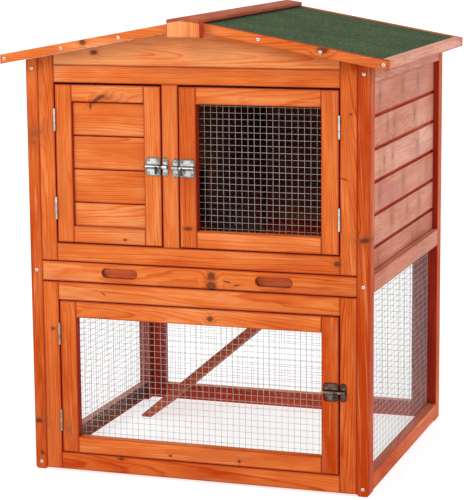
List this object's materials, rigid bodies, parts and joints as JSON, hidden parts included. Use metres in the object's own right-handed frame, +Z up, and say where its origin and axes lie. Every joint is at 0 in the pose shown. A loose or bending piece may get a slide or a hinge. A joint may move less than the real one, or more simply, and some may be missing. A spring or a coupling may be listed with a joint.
{
  "type": "rabbit hutch",
  "caption": "Two-storey timber rabbit hutch with a felted gable roof, hinged and bolted doors, a pull-out tray floor, a ramp and a wire run below.",
  "frame": {"origin": "on the ground under the middle of the whole hutch", "axes": "+X to the right when facing the doors, +Y from the doors to the back, +Z up"},
  "size_m": [0.79, 0.695, 0.932],
  "materials": {
    "front_timber": "orange glaze on pine, satin",
    "side_timber": "thin pinkish glaze on pine, satin",
    "inner_timber": "stained pine, matt",
    "roofing_felt": "mineral roofing felt, dark green, matt",
    "wire": "galvanised welded wire",
    "zinc": "bright zinc plate",
    "bronze": "antique bronze plate, satin",
    "galvanised_sheet": "galvanised sheet"
  },
  "bodies": {
    "hutch": {"post_front_left": "front_timber", "post_front_right": "front_timber", "front_upper_frame": "front_timber", "front_gable": "front_timber", "front_lower_frame": "front_timber", "roof_trim_left": "front_timber", "roof_trim_right": "front_timber", "ridge_end_block": "front_timber", "post_rear_left": "side_timber", "post_rear_right": "side_timber", "side_rail_bottom_left": "side_timber", "side_rail_bottom_right": "side_timber", "side_rail_mid_left": "side_timber", "side_rail_mid_right": "side_timber", "side_rail_top_left": "side_timber", "side_rail_top_right": "side_timber", "wall_boards_left": "side_timber", "wall_boards_right": "side_timber", "rear_frame": "side_timber", "ridge_cap": "side_timber", "rear_wall_boards": "inner_timber", "partition_wall": "inner_timber", "floor_bearer": "inner_timber", "ramp": "inner_timber", "roof_panel_left": "inner_timber", "roof_panel_right": "inner_timber", "roof_felt_left": "roofing_felt", "roof_felt_right": "roofing_felt", "run_mesh_left": "wire", "run_mesh_right": "wire", "run_mesh_rear": "wire", "nest_hinge_upper_frame_leaf": "zinc", "nest_hinge_lower_frame_leaf": "zinc", "living_hinge_upper_frame_leaf": "zinc", "living_hinge_lower_frame_leaf": "zinc", "run_hinge_upper_frame_leaf": "zinc", "run_hinge_lower_frame_leaf": "zinc", "nest_bolt_keeper": "zinc", "living_bolt_keeper": "zinc", "run_bolt_keeper": "bronze"},
    "nest_door": {"nest_door_frame": "front_timber", "nest_door_boards": "front_timber", "nest_hinge_upper_door_leaf": "zinc", "nest_hinge_lower_door_leaf": "zinc", "nest_bolt_plate": "zinc"},
    "nest_bolt": {"nest_bolt_rod": "zinc"},
    "living_door": {"living_door_frame": "front_timber", "living_door_wire": "wire", "living_hinge_upper_door_leaf": "zinc", "living_hinge_lower_door_leaf": "zinc", "living_bolt_plate": "zinc"},
    "living_bolt": {"living_bolt_rod": "zinc"},
    "run_door": {"run_door_frame": "front_timber", "run_door_wire": "wire", "run_hinge_upper_door_leaf": "zinc", "run_hinge_lower_door_leaf": "zinc", "run_bolt_plate": "bronze"},
    "run_bolt": {"run_bolt_rod": "bronze"},
    "drawer": {"drawer_front": "front_timber", "drawer_tray": "galvanised_sheet"}
  },
  "joints": [
    {"name": "nest_door_hinge", "type": "hinge", "parent": "hutch", "child": "nest_door", "pos_m": [-0.29315, -0.2949, 0.635], "axis": [0, 0, -1], "range_deg": [0, 170]},
    {"name": "living_door_hinge", "type": "hinge", "parent": "hutch", "child": "living_door", "pos_m": [0.29315, -0.2949, 0.635], "axis": [0, 0, 1], "range_deg": [0, 170]},
    {"name": "run_door_hinge", "type": "hinge", "parent": "hutch", "child": "run_door", "pos_m": [-0.29315, -0.2949, 0.198], "axis": [0, 0, -1], "range_deg": [0, 170]},
    {"name": "nest_bolt_slide", "type": "slide", "parent": "nest_door", "child": "nest_bolt", "axis": [-1, 0, 0], "range_m": [0, 0.018]},
    {"name": "living_bolt_slide", "type": "slide", "parent": "living_door", "child": "living_bolt", "axis": [1, 0, 0], "range_m": [0, 0.018]},
    {"name": "run_bolt_slide", "type": "slide", "parent": "run_door", "child": "run_bolt", "axis": [-1, 0, 0], "range_m": [0, 0.018]},
    {"name": "drawer_slide", "type": "slide", "parent": "hutch", "child": "drawer", "axis": [0, -1, 0], "range_m": [0, 0.48]}
  ]
}
